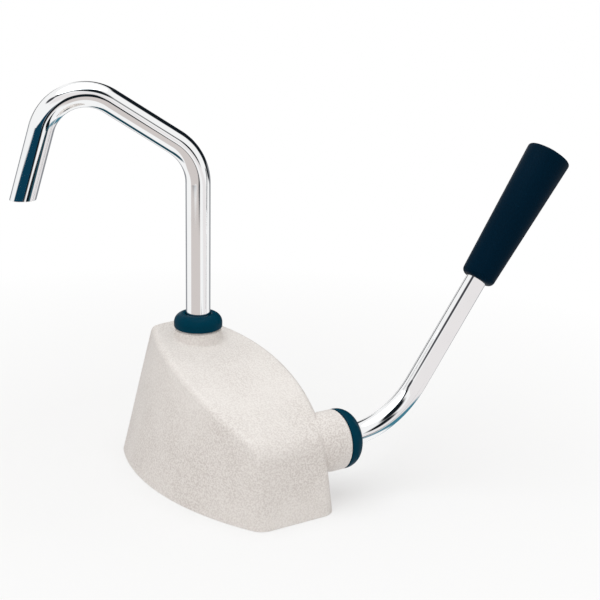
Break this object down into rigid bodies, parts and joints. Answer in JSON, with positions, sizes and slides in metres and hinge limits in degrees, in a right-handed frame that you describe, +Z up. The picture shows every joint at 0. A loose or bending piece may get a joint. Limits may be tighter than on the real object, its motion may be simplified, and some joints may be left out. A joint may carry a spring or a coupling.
{
  "type": "galley hand pump",
  "caption": "Deck-mounted hand pump: a drafted hollow casing with a side lever that swings an inner paddle past flap valves, and a swivelling bent spout on its turret.",
  "frame": {"origin": "on the deck face, under the axis of the spout's upright", "axes": "+Z up, +X towards the nose, +Y towards the side that the lever leaves"},
  "size_m": [0.1545, 0.2887, 0.2207],
  "materials": {
    "casing": "moulded, fine speckle",
    "plate": "moulded",
    "navy": "moulded, satin",
    "grip": "moulded, satin",
    "chrome": "polished",
    "steel": "bright",
    "brass": "machined",
    "rubber": "black",
    "paddle": "moulded",
    "acetal": "machined"
  },
  "bodies": {
    "casing": {"body_casing": "casing", "base_plate": "plate", "base_gasket": "rubber", "base_screws": "steel", "deck_inserts": "brass", "inlet_insert": "brass", "inlet_seat_ring": "steel", "inlet_flap_pin": "steel", "shaft_bush_inner": "acetal", "shaft_bush_outer": "acetal", "shaft_o_rings": "rubber", "shaft_gland_bush": "acetal", "lever_collar": "navy", "spout_thrust_washer": "acetal", "spout_o_rings": "rubber", "spout_bush": "acetal", "spout_collar": "navy"},
    "lever_and_paddle": {"lever": "chrome", "lever_plug": "paddle", "hub_pin": "steel", "paddle": "paddle", "paddle_seal": "rubber", "hub_washers": "acetal", "paddle_flap_pin": "steel", "grip": "grip"},
    "spout": {"spout": "chrome", "spout_flange": "brass"},
    "inlet_flap": {"inlet_flap": "rubber"},
    "paddle_flap": {"paddle_flap": "rubber"}
  },
  "joints": [
    {"name": "lever_swing", "type": "hinge", "parent": "casing", "child": "lever_and_paddle", "pos_m": [0.08751, 0, 0.033], "axis": [0, 1, 0], "range_deg": [-14, 14]},
    {"name": "spout_swivel", "type": "hinge", "parent": "casing", "child": "spout", "pos_m": [0, 0, 0.12], "axis": [0, 0, 1], "continuous": true},
    {"name": "inlet_flap_lift", "type": "hinge", "parent": "casing", "child": "inlet_flap", "pos_m": [0.03001, 0, 0.0132], "axis": [0, -1, 0], "range_deg": [0, 15]},
    {"name": "paddle_flap_lift", "type": "hinge", "parent": "lever_and_paddle", "child": "paddle_flap", "pos_m": [0.06255, 0, 0.03782], "axis": [0, 1, 0], "range_deg": [0, 8]}
  ]
}
